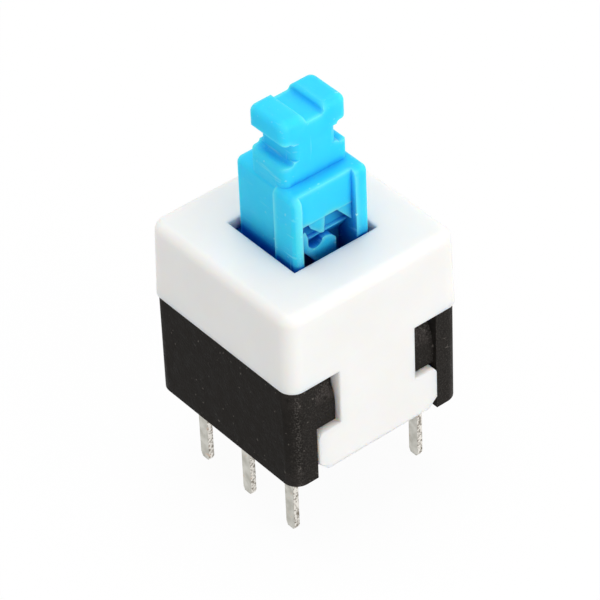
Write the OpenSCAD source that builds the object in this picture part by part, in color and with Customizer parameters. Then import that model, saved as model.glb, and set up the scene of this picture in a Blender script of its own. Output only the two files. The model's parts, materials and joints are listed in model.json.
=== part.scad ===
// Self-locking push switch, 8 mm square, with a heart cam, a lock pin and two changeover poles.
// Z points up, z = 0 is the underside that seats on the board, the terminal rows run along Y.

/* [Body] */
// Width and depth of the cover at its lower edge
body_w = 8; // [8:0.1:10]
// Height of the black base below the cover
base_h = 4.49; // [4.3:0.05:5.2]
// Height of the white cover band
cover_h = 3.32; // [3.2:0.05:4.2]
// Radius of the upright corners
corner_r = 0.6; // [0.3:0.05:0.9]
// Radius round the top edge of the cover
top_r = 0.42; // [0.2:0.02:0.6]
// How much narrower each side of the cover is at the top, for the mould
cover_draft = 0.07; // [0:0.01:0.12]
// Thickness of the cover's side walls
cover_wall = 0.5; // [0.4:0.05:0.6]
// Thickness of the cover's roof
roof_t = 0.5; // [0.4:0.05:0.8]
// How far the base stands back from the cover's lower edge
base_step = 0.06; // [0:0.005:0.08]
// Thickness of the base's floor
floor_t = 1; // [0.8:0.05:1.2]
// Height of the base's rim inside the cover
rim_h = 1.9; // [1.6:0.05:2.1]

/* [Snap tongues] */
// Width of a tongue's stem
stem_w = 3.5; // [2.8:0.05:3.8]
// Width of a tongue's foot
foot_w = 5.55; // [5:0.05:5.8]
// Height of a tongue's foot
foot_h = 1.82; // [1.4:0.02:2.2]
// Gap between a tongue's foot and the board
foot_lift = 0.24; // [0.1:0.01:0.3]
// Thickness of a tongue
tongue_t = 0.55; // [0.5:0.01:0.6]
// Corner cut at the foot's lower corners
foot_cut = 0.38; // [0.1:0.02:0.5]
// Radius at the foot's upper corners
foot_r = 0.3; // [0.1:0.02:0.4]
// How far a lug of the base reaches over a foot
lug_reach = 0.34; // [0.2:0.02:0.4]
// Height of a lug's upright face
lug_face = 0.75; // [0.4:0.05:1]
// Height of the ramp above that face
lug_ramp = 1.05; // [0.6:0.05:1.2]
// Running gap round a tongue
snap_gap = 0.05; // [0.03:0.01:0.08]

/* [Plunger] */
// Width of the plunger's frame along X
frame_x = 3.4; // [3.2:0.02:3.6]
// Depth of the plunger's frame along Y
frame_y = 3.6; // [3.4:0.02:3.64]
// Width of the frame behind its two front pillars
waist_x = 3.04; // [2.98:0.02:3.2]
// Depth of those pillars, from the frame's face to the waist
pillar_y = 1.23; // [0.9:0.01:1.5]
// Height of the frame above the cover at rest
frame_up = 2.9; // [2.7:0.05:3.2]
// Gap between the plunger and the hole in the cover on the left and right
side_gap = 0.2; // [0.15:0.01:0.3]
// Gap between the plunger and that hole at the front and rear
face_gap = 0.08; // [0.06:0.01:0.12]
// Radius round the hole's upper edge
hole_edge = 0.06; // [0.02:0.01:0.1]
// Radius of the frame's upright edges and round its top
frame_r = 0.3; // [0.2:0.01:0.36]
// Width of the stem along X
stem_x = 2.96; // [2.7:0.02:3.1]
// Depth of the stem along Y
stem_y = 1.92; // [1.6:0.02:2.2]
// Height of the stem above the frame
stem_h = 2.74; // [2.4:0.02:3.2]
// Height of the block below the notches that a cap clips into
shoulder_h = 0.82; // [0.6:0.02:1]
// Height of those notches
notch_h = 0.98; // [0.7:0.02:1.1]
// Depth of those notches
notch_d = 0.5; // [0.3:0.02:0.6]
// Radius of the stem's upright edges and round its top
stem_edge = 0.32; // [0.2:0.01:0.36]
// Width of the channel across the stem's top, at its floor
channel_w = 0.86; // [0.6:0.02:1.1]
// Depth of that channel
channel_d = 0.34; // [0.2:0.02:0.4]
// Full travel of the plunger
travel = 2.5; // [2:0.05:2.6]

/* [Heart cam] */
// Left edge of the cam window, from the middle of the frame
window_left = -1.39; // [-1.42:0.01:-1.3]
// Right edge of the cam window
window_right = 1.05; // [1:0.01:1.15]
// Height of the bar above the cam window
lintel_h = 1.47; // [1.3:0.01:1.6]
// How far the bar stands back from the corner pillars
lintel_back = 0.23; // [0.1:0.01:0.26]
// Depth of the press track below the frame's face
track_d = 1.04; // [0.95:0.01:1.06]
// Depth of that track at its upper end, where its floor has climbed
shallow_d = 0.52; // [0.5:0.01:0.6]
// Depth of the heart's top face below the frame's face
heart_back = 0.38; // [0.3:0.01:0.42]
// Width of the press track beside the heart
track_w = 0.67; // [0.6:0.01:0.7]
// Diameter of the lock pin's wire
pin_d = 0.36; // [0.3:0.02:0.36]
// Distance of the pin's wire in front of the bar above the window
pin_stand = 0.2; // [0.15:0.01:0.3]
// Thickness of the leaf that presses on the pin
leaf_t = 0.1; // [0.08:0.01:0.12]

/* [Return spring] */
// Outside diameter of the coil
spring_d = 1.7; // [1.5:0.05:1.8]
// Diameter of the spring's wire
spring_wire = 0.24; // [0.2:0.01:0.28]
// Number of turns
spring_turns = 9; // [7:1:10]
// Gap round the coil in the plunger's bore
bore_gap = 0.1; // [0.05:0.01:0.12]
// Diameter of the post that centres the coil on the floor
post_d = 1; // [0.8:0.05:1.1]

/* [Terminals] */
// Distance between neighbouring terminals in a row
pitch = 2.5; // [2.4:0.02:2.54]
// Wall of the base's rim outside each row of terminals
row_wall = 0.35; // [0.3:0.01:0.4]
// Length of a terminal below the base
leg_l = 3.3; // [2.5:0.02:4]
// Width of a terminal's leg
leg_w = 0.5; // [0.4:0.05:0.55]
// Thickness of the terminal sheet
leg_t = 0.25; // [0.2:0.01:0.26]
// Width of a contact flag
flag_w = 1.45; // [1.2:0.05:1.5]
// Gap round a terminal in its slot
slot_gap = 0.02; // [0.01:0.01:0.04]

/* [Moving contacts] */
// Room for a contact between the plunger's flange and the terminals
contact_room = 0.45; // [0.42:0.01:0.6]
// Thickness of the moving contacts' sheet
blade_t = 0.12; // [0.1:0.01:0.15]
// Height of a contact finger
blade_h = 1.5; // [1.3:0.05:1.6]
// Width of a contact finger
finger_w = 0.6; // [0.5:0.05:0.8]
// Gap between a finger's crest and the terminals
wipe_gap = 0.02; // [0.01:0.005:0.04]
// Diameter of the pegs that hold a contact on the plunger
peg_d = 0.4; // [0.3:0.02:0.5]

/* [Hidden] */
$fn = 48;
eps = 0.01;

// heights
body_h = base_h + cover_h;
roof_z = body_h - roof_t;
rim_z = base_h + rim_h;
frame_z = body_h + frame_up;
stem_top = frame_z + stem_h;
foot_top = foot_lift + foot_h;

// base and cover
base_w = body_w - 2 * base_step;
cavity_w = body_w - 2 * cover_wall;
rim_w = cavity_w - 2 * snap_gap;
slot_floor = body_w / 2 - tongue_t - snap_gap;
wall_y = 0.35;
chamber_y = 2 * (slot_floor - wall_y);
wipe_x = rim_w / 2 - row_wall - leg_t;
row_gap = 2 * wipe_x + leg_t;
chamber_r = 0.3;
hole_x = frame_x + 2 * side_gap;
hole_y = frame_y + 2 * face_gap;

// plunger
flange_gap = 0.05;
flange_z = roof_z - flange_gap;
bottom_z = floor_t + travel + 0.4;
flange_x = wipe_x - contact_room;
flange_back = frame_y / 2 + 0.45;
face_y = -frame_y / 2;
stem_low = frame_z - 1;
ledge_r = 0.2;
inner_r = 0.13;
ball_steps = 32;
spring_y = 0.4;
bore_r = spring_d / 2 + bore_gap;
bore_top = flange_z + 0.5;

// heart cam, all measured from the window's top and the press track
window_top = frame_z - lintel_h;
pin_r = pin_d / 2;
pin_side_gap = 0.03;
track_left = window_right - track_w;
pin_z = window_top - travel - pin_r - 0.3;
window_bottom = pin_z - pin_r - 0.25;
pin_x = window_right - pin_side_gap - pin_r;
guide_w = 0.71;
guide_h = 0.83;
pin_y = face_y + lintel_back - pin_stand - pin_r;
pivot_z = floor_t + 0.6;
pin_bend = 0.4;
pocket_d = 0.13;
heart_r = 0.05;
tooth_back = 0.05;
socket_gap = 0.02;
socket_d = 0.22;

// contacts
tip_cut = 0.08;
tip_h = 0.16;
rest_z = (base_h + rim_z) / 2 - 0.2;
strip_low = floor_t + 0.25;
strip_high = rim_z - 0.15;
flag_gap = 0.4;
flag_split = rest_z - 0.75;
finger_y = pitch / 2 + finger_w / 2 + 0.15;
peg_y = finger_y / 2;
SIDES = [-1, 1];

// points of an arc about a centre, with angles in degrees
function arc(centre, r, from, to, steps = 10) =
    [for (i = [0:steps]) let (a = from + (to - from) * i / steps)
        [centre[0] + r * cos(a), centre[1] + r * sin(a)]];

module rounded_rect(w, d, r) {
    square([w - 2 * r, d], center = true);
    square([w, d - 2 * r], center = true);
    for (x = SIDES, y = SIDES)
        translate([x * (w / 2 - r), y * (d / 2 - r)]) circle(r = r);
}

// rounds the outer and the inner corners of an outline
module softened(outer, inner) {
    offset(r = outer) offset(r = -outer - inner) offset(r = inner) children();
}

// an outline drawn in X and Z, given a depth along Y
module along_y(depth) {
    translate([0, depth / 2, 0]) rotate([90, 0, 0]) linear_extrude(depth) children();
}

// an outline drawn in Y and Z, given a width along X
module along_x(width) {
    translate([-width / 2, 0, 0]) rotate([90, 0, 90]) linear_extrude(width) children();
}

module front_and_back() {
    children();
    mirror([0, 1, 0]) children();
}

// a corner of the cover's outer form: an upright that rounds over at the top
module cover_corner() {
    top = corner_r - top_r;
    rotate_extrude($fn = 64)
        polygon(concat(
            [[0, 0], [corner_r, 0]],
            [for (p = arc([top, cover_h - top_r], top_r, 0, 90)) p],
            [[0, cover_h]]
        ));
}

module cover_block() {
    low = body_w / 2 - corner_r;
    hull() {
        for (x = SIDES, y = SIDES) {
            translate([x * low, y * low, base_h]) cylinder(r = corner_r, h = eps, $fn = 64);
            translate([x * (low - cover_draft), y * (low - cover_draft), base_h])
                intersection() {
                    cover_corner();
                    translate([-body_w / 2, -body_w / 2, cover_h / 2]) cube([body_w, body_w, cover_h]);
                }
        }
    }
}

module tongue_outline() {
    difference() {
        union() {
            translate([-stem_w / 2, foot_lift]) square([stem_w, base_h - foot_lift]);
            translate([-foot_w / 2, foot_lift]) square([foot_w, foot_h - foot_r]);
            translate([-foot_w / 2 + foot_r, foot_lift]) square([foot_w - 2 * foot_r, foot_h]);
            for (x = SIDES)
                translate([x * (foot_w / 2 - foot_r), foot_top - foot_r]) circle(r = foot_r);
        }
        for (x = SIDES)
            translate([x * foot_w / 2, foot_lift]) rotate(45)
                square(foot_cut * sqrt(2), center = true);
    }
}

// an upright slot of a given width that flares in a round edge at the cover's top
module flared(w) {
    translate([-w / 2, 0]) square([w, body_h + 1]);
    difference() {
        translate([-w / 2 - hole_edge, body_h - hole_edge]) square([w + 2 * hole_edge, 1]);
        for (x = SIDES) translate([x * (w / 2 + hole_edge), body_h - hole_edge]) circle(r = hole_edge);
    }
}

module cover() {
    color("white") {
        difference() {
            cover_block();
            translate([0, 0, base_h - 1])
                linear_extrude(roof_z - base_h + 1) rounded_rect(cavity_w, cavity_w, corner_r / 2);
            intersection() {
                along_y(body_w) flared(hole_x);
                along_x(body_w) flared(hole_y);
            }
        }
        front_and_back() tongue();
    }
}

module tongue() {
    translate([0, -(body_w - tongue_t) / 2, 0]) along_y(tongue_t) tongue_outline();
}

// outline of a lug in Y and Z: a flat catch below, a ramp above that spreads the tongue
module lug_outline() {
    low = foot_top + snap_gap;
    ramp_r = (pow(lug_ramp, 2) + pow(lug_reach, 2)) / (2 * lug_reach);
    ramp_angle = asin(lug_ramp / ramp_r);
    polygon(concat(
        [[-slot_floor + eps, low], [-slot_floor - lug_reach, low]],
        arc([-slot_floor - lug_reach + ramp_r, low + lug_face], ramp_r, 180, 180 - ramp_angle),
        [[-slot_floor + eps, low + lug_face + lug_ramp]]
    ));
}

module lugs() {
    lug_w = (foot_w - stem_w) / 2 + eps;
    for (x = SIDES)
        translate([x * (stem_w / 2 + snap_gap + lug_w / 2), 0, 0]) along_x(lug_w) lug_outline();
}

// the room that a terminal takes in the base, with its running gap
module terminal_slots() {
    for (x = SIDES, y = [-1, 0, 1])
        translate([x * row_gap / 2, y * pitch, 0])
            along_x(leg_t + 2 * slot_gap) offset(delta = slot_gap) terminal_outline(y);
}

module base() {
    slot_w = foot_w + 2 * snap_gap;
    color([0.16, 0.15, 0.14]) {
        difference() {
            union() {
                linear_extrude(base_h) rounded_rect(base_w, base_w, corner_r);
                linear_extrude(rim_z) rounded_rect(rim_w, rim_w, corner_r / 2);
            }
            translate([0, 0, floor_t])
                linear_extrude(body_h) rounded_rect(2 * wipe_x, chamber_y, chamber_r);
            front_and_back()
                translate([-slot_w / 2, -slot_floor - 1, -eps]) cube([slot_w, 1, body_h]);
            terminal_slots();
            translate([pin_x, -chamber_y / 2 + eps, pivot_z]) rotate([90, 0, 0])
                cylinder(d = pin_d + 2 * socket_gap, h = socket_d + eps);
        }
        front_and_back() lugs();
        translate([0, spring_y, floor_t - eps]) cylinder(d1 = post_d, d2 = post_d * 0.8, h = 1.1);
    }
}

// the stem's outline in X and Z, with the two side notches and the channel across its top
module stem_outline() {
    softened(ledge_r, inner_r) difference() {
        translate([-stem_x / 2, stem_low]) square([stem_x, stem_top - stem_low]);
        for (x = SIDES)
            translate([x * stem_x / 2, frame_z + shoulder_h + notch_h / 2])
                square([2 * notch_d, notch_h], center = true);
        translate([-channel_w / 2, stem_top - channel_d]) square([channel_w, 1]);
    }
}

// an upright block whose upright edges, top edges and top corners are all round
module round_block(w, d, low, high, r) {
    hull() {
        for (x = SIDES, y = SIDES) translate([x * (w / 2 - r), y * (d / 2 - r), 0]) {
            translate([0, 0, high - r]) sphere(r = r, $fn = ball_steps);
            translate([0, 0, low]) cylinder(r = r, h = eps, $fn = ball_steps);
        }
    }
}

// the stem: its outline cut from a shoulder, a neck and a head
module stem() {
    neck_x = stem_x - 2 * notch_d;
    notch_low = frame_z + shoulder_h;
    notch_high = notch_low + notch_h;
    intersection() {
        along_y(stem_y) stem_outline();
        round_block(stem_x, stem_y, stem_low, stem_top, stem_edge);
        union() {
            translate([-stem_x / 2, -stem_y / 2, stem_low])
                cube([stem_x, stem_y, notch_low + inner_r - stem_low]);
            translate([0, 0, stem_low]) linear_extrude(notch_high - stem_low)
                rounded_rect(neck_x, stem_y, stem_edge);
            translate([-stem_x / 2, -stem_y / 2, notch_high - inner_r])
                cube([stem_x, stem_y, stem_h]);
        }
    }
}

// the frame: two pillars at its front, and a narrower waist behind them
module frame_block() {
    waist_y = face_y + pillar_y;
    intersection() {
        round_block(frame_x, frame_y, bottom_z, frame_z, frame_r);
        translate([-frame_x / 2, face_y, bottom_z]) cube([frame_x, pillar_y, frame_z]);
    }
    intersection() {
        round_block(waist_x, frame_y, bottom_z, frame_z, frame_r);
        translate([-frame_x / 2, waist_y - eps, bottom_z]) cube([frame_x, frame_y, frame_z]);
    }
}

// flange that stops under the cover's roof and carries the two moving contacts
module flange() {
    depth = flange_back - face_y;
    translate([0, (flange_back + face_y) / 2, bottom_z])
        linear_extrude(flange_z - bottom_z) rounded_rect(2 * flange_x, depth, frame_r);
}

// the heart: the pin climbs its right flank, rests in the bowl of its upper edge
// and goes back down on its left
function heart_points() =
    let (top = window_top, bowl = [track_left - 0.93, top - 1], bowl_r = 0.33,
         left = window_left + 0.29)
    concat(
        [[track_left - 0.14, top - 2.5], [track_left, top - 2.2], [track_left, top - 1.33],
         [track_left - 0.2, top - 1.12], [track_left - 0.44, top - 1.04]],
        arc(bowl, bowl_r, -10, -190, 12),
        [[left + 0.22, top - 0.72], [left + 0.1, top - 0.4], [left + 0.03, top - 0.38],
         [left, top - 0.48], [left, top - 1.25], [left + 0.56, top - 1.97],
         [track_left - 0.4, top - 2.85]]
    );

// raised floor of the way back, between the heart's left lobe and the window's side
module return_floor_outline() {
    polygon([
        [window_left - eps, window_top - 0.5], [window_left + 0.35, window_top - 0.42],
        [window_left + 0.35, window_top - 1.25], [window_left - eps, window_top - 1.4]
    ]);
}

// the tooth above the bowl, which sends the returning pin to the left
module tooth_outline() {
    right = window_left + 1.23;
    polygon([
        [window_left + 0.45, window_top + eps], [window_left + 0.57, window_top - 0.26],
        [right - 0.21, window_top - 0.68], [right - 0.07, window_top - 0.72],
        [right, window_top + eps]
    ]);
}

// the slanted corner at the window's upper right, which turns the pin towards the bowl
module guide_outline() {
    polygon([
        [window_right + eps, window_top + eps], [window_right + eps, window_top - guide_h],
        [window_right - guide_w, window_top], [window_right - guide_w, window_top + eps]
    ]);
}

// a plate standing on the window's back, with its front a given depth behind the frame's
module track_plate(back) {
    depth = track_d - back + eps;
    translate([0, face_y + back + depth / 2, 0]) along_y(depth) children();
}

// the floor under the upper half of the window, which climbs from the press track's depth
// to a ridge and drops behind it into a shallow pocket
module track_ramp() {
    back = face_y + track_d + eps;
    crest = face_y + shallow_d;
    ridge = window_top - 0.9;
    translate([(window_left + window_right) / 2, 0, 0])
        along_x(window_right - window_left + 2 * eps) polygon([
            [back, ridge - 0.75], [crest, ridge], [crest + pocket_d, ridge + 0.06],
            [crest + pocket_d, window_top + eps], [back, window_top + eps]
        ]);
}

module cam_window() {
    difference() {
        translate([window_left, face_y - 1, window_bottom])
            cube([window_right - window_left, track_d + 1, window_top - window_bottom]);
        track_ramp();
        track_plate(heart_back) softened(heart_r, heart_r) polygon(heart_points());
        track_plate(heart_back + 0.06) return_floor_outline();
        track_plate(lintel_back + tooth_back) {
            tooth_outline();
            guide_outline();
        }
    }
}

module plunger() {
    peg_l = 0.3;
    color([0.16, 0.68, 0.92]) {
        difference() {
            union() {
                frame_block();
                stem();
                flange();
            }
            translate([window_left, face_y - 1, bottom_z - 1])
                cube([window_right - window_left, 1 + lintel_back, frame_z - bottom_z + 2]);
            cam_window();
            translate([0, spring_y, bottom_z - 1]) cylinder(r = bore_r, h = bore_top - bottom_z + 1);
        }
        for (x = SIDES, y = SIDES)
            translate([x * (flange_x - eps), y * peg_y, rest_z + blade_h / 2]) rotate([0, x * 90, 0])
                cylinder(d = peg_d, h = peg_l, $fn = 32);
    }
}

// a helix of round wire between two heights, swept from a ring of eight points
module return_spring() {
    wire_r = spring_wire / 2;
    coil_r = spring_d / 2 - wire_r;
    low = floor_t + wire_r;
    rise = bore_top - floor_t - spring_wire;
    steps = 14 * spring_turns;
    sides = 8;
    points = [for (i = [0:steps], k = [0:sides - 1])
        let (a = 360 * spring_turns * i / steps, b = 360 * k / sides,
             r = coil_r + wire_r * cos(b))
        [r * cos(a), spring_y + r * sin(a), low + rise * i / steps + wire_r * sin(b)]];
    walls = [for (i = [0:steps - 1], k = [0:sides - 1])
        let (n = (k + 1) % sides)
        [i * sides + k, (i + 1) * sides + k, (i + 1) * sides + n, i * sides + n]];
    ends = [
        [for (k = [0:sides - 1]) k],
        [for (k = [sides - 1:-1:0]) steps * sides + k]
    ];
    color("silver") polyhedron(points = points, faces = concat(walls, ends), convexity = 20);
}

// quarter bend of the pin's wire, from straight up to straight back
module pin_corner() {
    rotate([90, 0, 90]) rotate_extrude(angle = 90) translate([pin_bend, 0]) circle(d = pin_d);
}

// bent wire: a stub in the base's wall, an upright leg and a tip that reaches into the cam
module lock_pin() {
    tip_back = face_y + shallow_d - 0.02;
    stub_end = -chamber_y / 2 - socket_d + 0.05;
    leg_low = pivot_z + pin_bend;
    leg_high = pin_z - pin_bend;
    color([0.82, 0.82, 0.8]) translate([pin_x, 0, 0]) {
        translate([0, pin_y, leg_low]) cylinder(d = pin_d, h = leg_high - leg_low);
        translate([0, pin_y + pin_bend, leg_high]) rotate([0, 0, 180]) pin_corner();
        translate([0, tip_back, pin_z]) rotate([90, 0, 0])
            cylinder(d = pin_d, h = tip_back - pin_y - pin_bend);
        translate([0, pin_y - pin_bend, leg_low]) mirror([0, 0, 1]) pin_corner();
        translate([0, pin_y - pin_bend, pivot_z]) rotate([90, 0, 0])
            cylinder(d = pin_d, h = pin_y - pin_bend - stub_end);
    }
}

// bowed leaf that keeps the pin's tip against the cam
module pin_spring() {
    leaf_w = 1.2;
    back = -chamber_y / 2;
    crest = pin_y - pin_r - 0.02;
    rise = crest - back - leaf_t;
    half = 1.5;
    mid_z = (pivot_z + pin_z) / 2 + 0.2;
    r = (pow(half, 2) + pow(rise, 2)) / (2 * rise);
    span = asin(half / r);
    color([0.8, 0.68, 0.42]) translate([pin_x, 0, 0]) along_x(leaf_w) polygon(concat(
        arc([crest - r, mid_z], r, -span, span),
        arc([crest - r, mid_z], r - leaf_t, span, -span)
    ));
}

// a terminal's outline in Y and Z, from its own leg: the flag reaches towards the middle
module terminal_outline(place) {
    half = leg_w / 2;
    tip_w = half - tip_cut;
    top = place > 0 ? flag_split - flag_gap / 2 : strip_high;
    bottom = place < 0 ? flag_split + flag_gap / 2 : strip_low;
    polygon([
        [-tip_w, -leg_l], [tip_w, -leg_l], [half, -leg_l + tip_h], [half, top],
        [-half, top], [-half, -leg_l + tip_h]
    ]);
    if (place == 0) translate([-finger_w / 2 - 0.1, bottom]) square([finger_w + 0.2, top - bottom]);
    if (place != 0) {
        inner = half - flag_w;
        translate([place > 0 ? inner : -half, bottom]) square([flag_w, top - bottom]);
    }
}

module terminal(side, place) {
    color([0.75, 0.74, 0.71]) translate([side * row_gap / 2, place * pitch, 0])
        along_x(leg_t) terminal_outline(place);
}

// three bowed fingers on one plate, carried by the plunger and wiping over the terminals
module moving_contact(side) {
    inner = flange_x;
    crest = wipe_x - wipe_gap;
    rise = crest - inner - blade_t;
    half = blade_h / 2;
    r = (pow(half, 2) + pow(rise, 2)) / (2 * rise);
    span = asin(half / r);
    plate_z = rest_z + half;
    plate_w = 2 * finger_y + finger_w;
    color([0.8, 0.68, 0.42]) mirror([side < 0 ? 1 : 0, 0, 0]) {
        for (y = [-finger_y, 0, finger_y])
            translate([0, y, 0]) along_y(finger_w) polygon(concat(
                arc([crest - r, rest_z], r, -span, span),
                arc([crest - r, rest_z], r - blade_t, span, -span)
            ));
        difference() {
            translate([inner, -plate_w / 2, plate_z - 0.3]) cube([blade_t, plate_w, 0.6]);
            for (y = SIDES)
                translate([inner - eps, y * peg_y, plate_z]) rotate([0, 90, 0])
                    cylinder(d = peg_d, h = 1, $fn = 32);
        }
    }
}

base();
cover();
plunger();
return_spring();
lock_pin();
pin_spring();
moving_contact(-1);  // moving_contact_left
moving_contact(1);  // moving_contact_right
terminal(-1, -1);  // terminal_left_front
terminal(-1, 0);  // terminal_left_middle
terminal(-1, 1);  // terminal_left_rear
terminal(1, -1);  // terminal_right_front
terminal(1, 0);  // terminal_right_middle
terminal(1, 1);  // terminal_right_rear
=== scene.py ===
import json
import math

import bpy
from mathutils import Matrix, Vector


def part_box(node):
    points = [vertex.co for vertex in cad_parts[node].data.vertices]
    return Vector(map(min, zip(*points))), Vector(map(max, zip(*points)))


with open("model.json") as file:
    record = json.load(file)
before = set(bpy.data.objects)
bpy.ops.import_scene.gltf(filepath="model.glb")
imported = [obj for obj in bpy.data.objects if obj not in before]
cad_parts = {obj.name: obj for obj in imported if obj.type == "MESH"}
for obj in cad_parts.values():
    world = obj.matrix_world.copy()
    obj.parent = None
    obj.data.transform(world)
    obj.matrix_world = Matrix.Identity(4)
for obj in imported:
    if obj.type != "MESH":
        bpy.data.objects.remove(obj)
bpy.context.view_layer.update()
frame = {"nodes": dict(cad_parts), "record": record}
mm = 0.001
nodes = frame["nodes"]
print("loaded", len(nodes), "nodes")


# One socket of a material's node tree, so that masks can be written as sums and products.
class Socket:
    def __init__(self, recipe, output):
        self.recipe, self.output = recipe, output

    def maths(self, operation, first, second=0.0):
        return self.recipe.node("ShaderNodeMath", {"operation": operation}, {0: first, 1: second})

    def __add__(self, other):
        return self.maths("ADD", self, other)

    def __mul__(self, other):
        return self.maths("MULTIPLY", self, other)

    __radd__ = __add__
    __rmul__ = __mul__


# The node tree of a material or of the world, put together one node at a time.
class Recipe:
    def __init__(self, owner):
        owner.use_nodes = True
        self.owner, self.tree = owner, owner.node_tree
        self.tree.nodes.clear()

    def node(self, kind, settings=None, inputs=None, output=0):
        made = self.tree.nodes.new(kind)
        for key, value in (settings or {}).items():
            setattr(made, key, value)
        for key, value in (inputs or {}).items():
            if isinstance(value, Socket):
                self.tree.links.new(value.output, made.inputs[key])
            else:
                made.inputs[key].default_value = value
        return Socket(self, made.outputs[output]) if made.outputs else made

    def place(self):
        return self.node("ShaderNodeTexCoord", output="Object")

    def height(self):
        return self.node("ShaderNodeSeparateXYZ", inputs={0: self.place()}, output="Z")

    def noise(self, scale, detail=2.0, roughness=0.5, place=None):
        return self.node("ShaderNodeTexNoise", inputs={
            "Vector": place or self.place(), "Scale": scale, "Detail": detail, "Roughness": roughness})

    # Noise drawn out along an axis: a small stretch on that axis makes long streaks.
    def streaks(self, scale, stretch, turn=(0.0, 0.0, 0.0)):
        place = self.node("ShaderNodeMapping", {"vector_type": "POINT"}, {
            "Vector": self.place(), "Rotation": turn, "Scale": stretch})
        return self.noise(scale, place=place)

    def between(self, value, low, high, toLow=0.0, toHigh=1.0):
        return self.node("ShaderNodeMapRange", {"clamp": True}, {
            0: value, 1: low, 2: high, 3: toLow, 4: toHigh})

    # A mask that rises between the first two values and falls between the last two.
    def band(self, value, riseFrom, riseTo, fallFrom, fallTo):
        return self.between(value, riseFrom, riseTo) * self.between(value, fallFrom, fallTo, 1.0, 0.0)

    def varied(self, noise, limits):
        return self.between(noise, 0.3, 0.7, *limits)

    def mixed(self, factor, first, second):
        return self.node("ShaderNodeMix", {"data_type": "RGBA"}, {0: factor, 6: first, 7: second}, 2)

    def bump(self, height, distance, normal=None):
        inputs = {"Height": height, "Distance": distance, "Strength": 1.0}
        if normal:
            inputs["Normal"] = normal
        return self.node("ShaderNodeBump", inputs=inputs)

    # Deep places, where little sky is seen within the reach: where shade is painted into the colour.
    def cavity(self, reach, low, high):
        openness = self.node("ShaderNodeAmbientOcclusion", {"samples": 8}, {"Distance": reach}, "AO")
        return self.between(openness, low, high, 1.0, 0.0)

    # A wide soft band along outer edges, where the plastic is thin and painted light makes them lighter.
    def rim(self, reach):
        thickness = self.node("ShaderNodeAmbientOcclusion", {
            "samples": 8, "inside": True, "only_local": True}, {"Distance": reach}, "AO")
        return self.between(thickness, 0.50, 0.92, 1.0, 0.0)

    # A thin line along every edge.
    def edges(self, reach):
        flat = self.node("ShaderNodeNewGeometry", output="Normal")
        facing = self.node("ShaderNodeVectorMath", {"operation": "DOT_PRODUCT"}, {
            0: self.rounded(reach), 1: flat}, "Value")
        return self.between(facing, 0.80, 0.985, 1.0, 0.0)

    def rounded(self, radius):
        return self.node("ShaderNodeBevel", {"samples": 4}, {"Radius": radius})

    # How squarely a face looks along an axis of its piece, from 0 to 1.
    def facing(self, axis):
        normal = self.node("ShaderNodeTexCoord", output="Normal")
        part = self.node("ShaderNodeSeparateXYZ", inputs={0: normal}, output=axis)
        return part.maths("ABSOLUTE", part)

    def seenDirectly(self):
        camera, glossy, through = [self.node("ShaderNodeLightPath", output=name)
                                   for name in ("Is Camera Ray", "Is Glossy Ray", "Is Transmission Ray")]
        return camera.maths("MAXIMUM", camera, glossy.maths("MAXIMUM", glossy, through))

    def surface(self, inputs):
        return self.finish(self.node("ShaderNodeBsdfPrincipled", inputs=inputs))

    def finish(self, shader, kind="Material"):
        self.node("ShaderNodeOutput" + kind, inputs={"Surface": shader})
        return self.owner


def newMaterial(name):
    return Recipe(bpy.data.materials.new(name))


def rgb(r, g, b):
    return (r, g, b, 1.0)


# Black moulding: its ends, its corners and its edges get painted glints, a sparkle of highlights painted
# into the colour, its long sides are smoother. Its sloped faces get a painted lighter tone where light
# falls on them.
baseFinish = {
    "dark": rgb(0.0130, 0.0116, 0.0103),
    "light": rgb(0.0192, 0.0171, 0.0154),
    # painted highlight colour of the sparkle on the ends, corners and edges
    "glint": rgb(0.115, 0.107, 0.098),
    # painted light: the lighter tone of the sloped faces where light falls on them
    "paintedLightAndScuffs": rgb(0.037, 0.032, 0.030),
    "speck": rgb(0.11, 0.10, 0.09),
    "specular": 0.03,
    "roughness": (0.45, 0.70),
    "waveScale": 700.0,
    "waveHeight": 0.010 * mm,
    "pitScale": 3200.0,
    "pitHeight": 0.012 * mm,
    "grainScale": 11000.0,
    "grainHeight": 0.020 * mm,
    "glintScale": 15000.0,
    "glintLevels": (0.47, 0.72),
    "glintShares": {"ends": 0.30, "ridge": 0.60, "edges": 1.2},
    "edgeReach": 0.05 * mm,
    "endFacing": (0.30, 0.75),
    "ridgeFacing": (0.76, 0.87, 0.89, 0.97),
    "slopeFacing": (0.10, 0.28, 0.45, 0.60),
    "speckScale": 5200.0,
    "speckLevels": (0.72, 0.78),
    "speckShare": 0.8,
}


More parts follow.
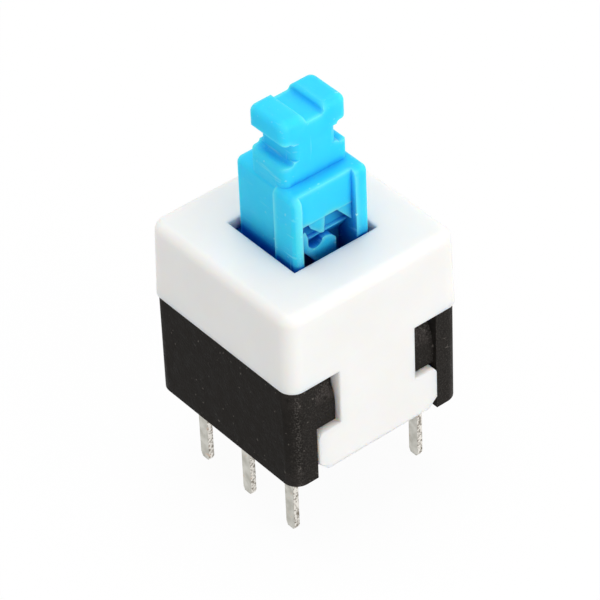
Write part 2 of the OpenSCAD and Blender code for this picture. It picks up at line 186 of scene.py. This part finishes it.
def makeBasePlastic(values):
    r = newMaterial("basePlastic")
    wave = r.noise(values["waveScale"])
    pits = r.noise(values["pitScale"], 3.0, 0.55)
    grain = r.noise(values["grainScale"], 3.0, 0.6)
    glitter = r.noise(values["glintScale"], 3.0, 0.7)

    towardsEnd = r.facing("Y")
    ends = r.between(towardsEnd, *values["endFacing"])
    ridge = r.band(towardsEnd, *values["ridgeFacing"])
    slope = r.band(r.facing("Z"), *values["slopeFacing"])
    edges = r.edges(values["edgeReach"])
    shares = values["glintShares"]
    # Painted glints: sparkle highlights painted into the colour on the ends, on a stripe along the
    # rounded corners and on the edges.
    paintedGlintMask = ends * shares["ends"] + ridge * shares["ridge"] + edges * shares["edges"]
    glints = r.between(glitter, *values["glintLevels"]) * paintedGlintMask
    specks = r.between(r.noise(values["speckScale"], 1.0), *values["speckLevels"])

    tone = r.mixed(r.between(pits, 0.30, 0.70), values["dark"], values["light"])
    # Painted light: the sloped faces are painted lighter where light falls on them.
    paintedLightAndScuffs = r.mixed(slope * r.between(pits, 0.30, 0.55), tone, values["paintedLightAndScuffs"])
    glinting = r.mixed(glints, paintedLightAndScuffs, values["glint"])
    soft = r.bump(wave, values["waveHeight"])
    pitted = r.bump(pits, values["pitHeight"], soft)
    return r.surface({
        "Base Color": r.mixed(specks * values["speckShare"], glinting, values["speck"]),
        "Roughness": r.varied(pits, values["roughness"]),
        "Normal": r.bump(grain, values["grainHeight"], pitted),
        "Specular IOR Level": values["specular"]})


# White moulding: smooth, hardly glossy, a little warm, with light passing just under its skin, and a
# painted highlight along its edges.
coverFinish = {
    "clean": rgb(0.86, 0.852, 0.838),
    "cloud": rgb(0.84, 0.83, 0.81),
    # painted highlight colour along the edges
    "edge": rgb(0.95, 0.945, 0.935),
    "specular": 0.25,
    "roughness": (0.40, 0.50),
    "cloudScale": 320.0,
    "rippleHeight": 0.006 * mm,
    "grainScale": 7000.0,
    "grainHeight": 0.0012 * mm,
    "edgeReach": 0.10 * mm,
    "edgeShare": 0.8,
    "edgeRadius": 0.14 * mm,
    "skinWeight": 0.8,
    "skinDepth": 0.55 * mm,
    "skinRadius": (1.0, 0.78, 0.6),
}


def makeCoverPlastic(values):
    r = newMaterial("coverPlastic")
    cloud = r.noise(values["cloudScale"], 3.0)
    grain = r.noise(values["grainScale"])
    tone = r.mixed(r.between(cloud, 0.35, 0.65), values["clean"], values["cloud"])
    ripple = r.bump(cloud, values["rippleHeight"], r.rounded(values["edgeRadius"]))
    # The edges get a painted highlight: a lighter colour along them.
    return r.surface({
        "Base Color": r.mixed(r.edges(values["edgeReach"]) * values["edgeShare"], tone, values["edge"]),
        "Roughness": r.varied(cloud, values["roughness"]),
        "Normal": r.bump(grain, values["grainHeight"], ripple),
        "Specular IOR Level": values["specular"],
        "Subsurface Weight": values["skinWeight"],
        "Subsurface Radius": values["skinRadius"],
        "Subsurface Scale": values["skinDepth"]})


# Sky blue moulding: light passes into it, and its sides are scuffed where they slide in the hole. Its
# colour also holds painted shade in its recesses and deep in its window, painted light along its edges
# and painted glints.
plungerFinish = {
    "bright": rgb(0.044, 0.650, 0.98),
    "deep": rgb(0.030, 0.608, 0.97),
    # painted shade near walls, then painted deeper shade inside the window
    "shade": rgb(0.0, 0.23, 0.74),
    "depth": rgb(0.0, 0.075, 0.42),
    "scuff": rgb(0.20, 0.74, 0.96),
    # painted highlight colour of the glints, then the painted light colour along the edges
    "paintedGlint": rgb(0.60, 0.92, 0.98),
    "edge": rgb(0.22, 0.78, 0.98),
    "specular": 0.08,
    "roughness": (0.30, 0.46),
    "cloudScale": 420.0,
    "rippleScale": 1100.0,
    "rippleHeight": 0.010 * mm,
    "scuffs": {"scale": 9000.0, "stretch": (1.0, 1.0, 0.06), "turn": (0.35, 0.3, 0.0)},
    "scuffLevels": (0.70, 0.76),
    "scuffClouds": (0.45, 0.60),
    "scuffHeight": 0.004 * mm,
    "rubs": {"scale": 7000.0, "stretch": (1.0, 0.08, 1.0), "turn": (0.12, 0.0, 0.0)},
    "rubLevels": (0.64, 0.72),
    "wornShare": 0.5,
    "fleckScale": 5200.0,
    "fleckLevels": (0.72, 0.78),
    "fleckShares": {"edges": 0.75, "elsewhere": 0.25, "all": 0.8},
    "edgeReach": 0.26 * mm,
    "edgeShare": 0.6,
    "shadeReach": 0.9 * mm,
    "shadeLevels": (0.25, 0.70),
    "depthReach": 2.6 * mm,
    "depthLevels": (0.15, 0.72),
    "windowHeights": (10.3 * mm, 9.3 * mm),
    "skinWeight": 0.9,
    "skinDepth": 0.7 * mm,
    "skinRadius": (0.2, 0.75, 1.3),
}


def makePlungerPlastic(values):
    r = newMaterial("plungerPlastic")
    cloud = r.noise(values["cloudScale"], 3.0)
    ripple = r.noise(values["rippleScale"])
    scuffs = r.between(r.streaks(**values["scuffs"]), *values["scuffLevels"])
    rubs = r.between(r.streaks(**values["rubs"]), *values["rubLevels"])
    worn = scuffs * r.between(cloud, *values["scuffClouds"]) + rubs * r.facing("X")

    # Painted light: the outer edges are painted lighter.
    edges = r.rim(values["edgeReach"])
    shares = values["fleckShares"]
    # Painted glints: pale highlight dots, mostly along the edges.
    paintedGlints = r.between(r.noise(values["fleckScale"], 1.0), *values["fleckLevels"])
    paintedGlints = paintedGlints * (edges * shares["edges"] + shares["elsewhere"])
    # Painted shade: darker near walls, and darker still deep in the window below the lintel.
    nearWall = r.cavity(values["shadeReach"], *values["shadeLevels"])
    inWindow = r.cavity(values["depthReach"], *values["depthLevels"])
    inWindow = inWindow * r.between(r.height(), *values["windowHeights"])

    tone = r.mixed(r.between(cloud, 0.35, 0.65), values["deep"], values["bright"])
    rimmed = r.mixed(edges * values["edgeShare"], tone, values["edge"])
    shaded = r.mixed(nearWall, rimmed, values["shade"])
    sunk = r.mixed(inWindow, shaded, values["depth"])
    paintedLightAndScuffs = r.mixed(worn * values["wornShare"], sunk, values["scuff"])
    soft = r.bump(ripple, values["rippleHeight"])
    return r.surface({
        "Base Color": r.mixed(paintedGlints * shares["all"], paintedLightAndScuffs, values["paintedGlint"]),
        "Roughness": r.varied(ripple, values["roughness"]),
        "Normal": r.bump(worn, values["scuffHeight"], soft),
        "Specular IOR Level": values["specular"],
        "Subsurface Weight": values["skinWeight"],
        "Subsurface Radius": values["skinRadius"],
        "Subsurface Scale": values["skinDepth"]})


# Tinned legs: the flat faces are dull and soft, the sheared edges are bright with dark nicks.
terminalFinish = {
    "bright": rgb(0.61, 0.60, 0.55),
    "dull": rgb(0.48, 0.47, 0.42),
    "sheared": rgb(0.86, 0.83, 0.77),
    "nick": rgb(0.24, 0.21, 0.17),
    "solder": rgb(0.62, 0.42, 0.30),
    "roughness": (0.50, 0.32),
    "grain": {"scale": 9000.0, "stretch": (1.0, 1.0, 0.12)},
    "grainHeight": 0.004 * mm,
    "tarnishScale": 2600.0,
    "tornScale": 8500.0,
    "tornLevels": (0.36, 0.56),
    "nickHeight": 0.012 * mm,
    "shearFacing": (0.40, 0.70),
    "solderScale": 3800.0,
    "solderLevels": (0.66, 0.74),
    "solderShare": 0.5,
}


def makeTerminalTin(values):
    r = newMaterial("terminalTin")
    grain = r.streaks(**values["grain"])
    tarnish = r.noise(values["tarnishScale"], 3.0)
    torn = r.noise(values["tornScale"], 2.0, 0.6)
    shear = r.between(r.facing("Y"), *values["shearFacing"])
    solder = r.between(r.noise(values["solderScale"], 1.0), *values["solderLevels"])
    flat = r.mixed(r.between(tarnish, 0.35, 0.65), values["dull"], values["bright"])
    ragged = r.mixed(r.between(torn, *values["tornLevels"]), values["nick"], values["sheared"])
    edged = r.mixed(shear, flat, ragged)
    smooth = r.bump(grain, values["grainHeight"])
    return r.surface({
        "Base Color": r.mixed(solder * values["solderShare"], edged, values["solder"]),
        "Metallic": 1.0,
        "Roughness": r.varied(tarnish, values["roughness"]),
        "Normal": r.bump(torn * shear, values["nickHeight"], smooth)})


# Sheet and wire: one recipe with its own colours for each metal.
metalFinishes = {
    "springSteel": {
        "bright": rgb(0.66, 0.66, 0.65),
        "dull": rgb(0.46, 0.46, 0.45),
        "roughness": (0.34, 0.22),
        "grain": {"scale": 9000.0, "stretch": (1.0, 1.0, 0.3)},
        "grainHeight": 0.002 * mm,
        "tarnishScale": 1500.0,
    },
    "contactBronze": {
        "bright": rgb(0.80, 0.60, 0.36),
        "dull": rgb(0.55, 0.39, 0.22),
        "roughness": (0.42, 0.26),
        "grain": {"scale": 9000.0, "stretch": (1.0, 0.15, 1.0)},
        "grainHeight": 0.002 * mm,
        "tarnishScale": 1500.0,
    },
}


def makeMetal(name, values):
    r = newMaterial(name)
    tarnish = r.noise(values["tarnishScale"], 3.0)
    return r.surface({
        "Base Color": r.mixed(r.between(tarnish, 0.35, 0.65), values["dull"], values["bright"]),
        "Metallic": 1.0,
        "Roughness": r.varied(tarnish, values["roughness"]),
        "Normal": r.bump(r.streaks(**values["grain"]), values["grainHeight"])})


# Each material slot of the record with its finish.
finishes = {
    "base_plastic": makeBasePlastic(baseFinish),
    "cover_plastic": makeCoverPlastic(coverFinish),
    "plunger_plastic": makePlungerPlastic(plungerFinish),
    "tinned_metal": makeTerminalTin(terminalFinish),
    "spring_steel": makeMetal("springSteel", metalFinishes["springSteel"]),
    "contact_bronze": makeMetal("contactBronze", metalFinishes["contactBronze"]),
}
print("made", len(finishes), "finishes")

# Edges are softened for the looks alone, so that every moulded edge catches light. The wire has none.
edgeLook = {
    "widths": {
        "base_plastic": 0.05 * mm,
        "cover_plastic": 0.06 * mm,
        "plunger_plastic": 0.07 * mm,
        "tinned_metal": 0.03 * mm,
        "contact_bronze": 0.015 * mm,
    },
    "weld": 0.0015 * mm,
    "segments": 2,
    "angle": 32,
    "normalWeight": 60,
}


def softenEdges(node, width, values):
    for polygon in node.data.polygons:
        polygon.use_smooth = True
    weld = node.modifiers.new("weld", "WELD")
    weld.merge_threshold = values["weld"]
    bevel = node.modifiers.new("edges", "BEVEL")
    bevel.width, bevel.segments = width, values["segments"]
    bevel.limit_method, bevel.angle_limit = "ANGLE", math.radians(values["angle"])
    bevel.use_clamp_overlap = True
    bevel.miter_outer = "MITER_ARC"
    normals = node.modifiers.new("normals", "WEIGHTED_NORMAL")
    normals.weight = values["normalWeight"]
    normals.keep_sharp = True


def paint(node, material):
    node.data.materials.clear()
    node.data.materials.append(material)


for part in frame["record"]["subparts"]:
    node, slot = nodes[part["node"]], part["material_slot"]
    paint(node, finishes[slot])
    if slot in edgeLook["widths"]:
        softenEdges(node, edgeLook["widths"][slot], edgeLook)
print("dressed the nodes")


# The floor that the legs stand on: white to the camera, with a faint shadow.
floorLook = {"size": 0.6, "gap": 0.01 * mm, "colour": rgb(0.93, 0.93, 0.93), "shadowShare": 0.05}


def makeFloor(values):
    lowest = min(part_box(name)[0].z for name in nodes)
    bpy.ops.mesh.primitive_plane_add(size=values["size"], location=(0, 0, lowest - values["gap"]))
    floor = bpy.context.object
    floor.name = "floor"
    r = newMaterial("floorWhite")
    plain = r.node("ShaderNodeBsdfDiffuse", inputs={"Color": values["colour"]})
    glow = r.node("ShaderNodeEmission", inputs={"Color": rgb(1, 1, 1), "Strength": 1.0})
    factor = r.seenDirectly() * (1.0 - values["shadowShare"])
    paint(floor, r.finish(r.node("ShaderNodeMixShader", inputs={0: factor, 1: plain, 2: glow})))


# Soft studio light: an even white surround, a large panel at the right and one above.
lightPlan = {
    "surround": 0.645,
    "surroundColour": rgb(1.0, 0.99, 0.98),
    "aim": (0, 0, 5 * mm),
    "panels": {
        "rightPanel": {"from": (0.09, -0.33, 0.14), "size": 0.28, "watts": 0.545},
        "topPanel": {"from": (0.02, 0.06, 0.36), "size": 0.24, "watts": 0.52},
    },
}


def makeLights(values):
    world = bpy.data.worlds.new("studio")
    bpy.context.scene.world = world
    r = Recipe(world)
    lit = r.node("ShaderNodeBackground", inputs={
        "Color": values["surroundColour"], "Strength": values["surround"]})
    seen = r.node("ShaderNodeBackground", inputs={"Color": rgb(1, 1, 1), "Strength": 1.0})
    r.finish(r.node("ShaderNodeMixShader", inputs={0: r.seenDirectly(), 1: lit, 2: seen}), "World")
    for name, panel in values["panels"].items():
        data = bpy.data.lights.new(name, "AREA")
        data.shape, data.size, data.energy = "SQUARE", panel["size"], panel["watts"]
        lamp = bpy.data.objects.new(name, data)
        lamp.location = panel["from"]
        aim = Vector(values["aim"]) - lamp.location
        lamp.rotation_euler = aim.to_track_quat("-Z", "Y").to_euler()
        bpy.context.scene.collection.objects.link(lamp)


# The camera that was fitted to the edges of the photographed switch.
cameraFit = {
    "azimuth": -38.055,
    "elevation": 40.324,
    "roll": -2.51,
    "distance": 141.116 * mm,
    "aim": (0, 0, 4.06 * mm),
    "slide": (0.199 * mm, -0.164 * mm),
    "focalPixels": 3899.042,
    "frameWidth": 600,
    "sensorWidth": 36,
    "nearest": 0.01,
}


def makeCamera(values):
    azimuth, elevation, roll = (math.radians(values[name]) for name in ("azimuth", "elevation", "roll"))
    back = Vector((math.sin(azimuth) * math.cos(elevation),
                   -math.cos(azimuth) * math.cos(elevation), math.sin(elevation)))
    right = Vector((math.cos(azimuth), math.sin(azimuth), 0))
    up = back.cross(right)
    side = math.cos(roll) * right + math.sin(roll) * up
    top = -math.sin(roll) * right + math.cos(roll) * up
    slideX, slideY = values["slide"]
    spot = Vector(values["aim"]) + back * values["distance"] - side * slideX - top * slideY
    data = bpy.data.cameras.new("camera")
    data.sensor_width = values["sensorWidth"]
    data.lens = values["focalPixels"] / values["frameWidth"] * values["sensorWidth"]
    data.clip_start = values["nearest"]
    camera = bpy.data.objects.new("camera", data)
    bpy.context.scene.collection.objects.link(camera)
    turn = Matrix((side, top, back)).transposed().to_4x4()
    camera.matrix_world = Matrix.Translation(spot) @ turn
    bpy.context.scene.camera = camera


makeFloor(floorLook)
makeLights(lightPlan)
makeCamera(cameraFit)
bpy.context.scene.view_settings.view_transform = "Standard"
print("set the stage")
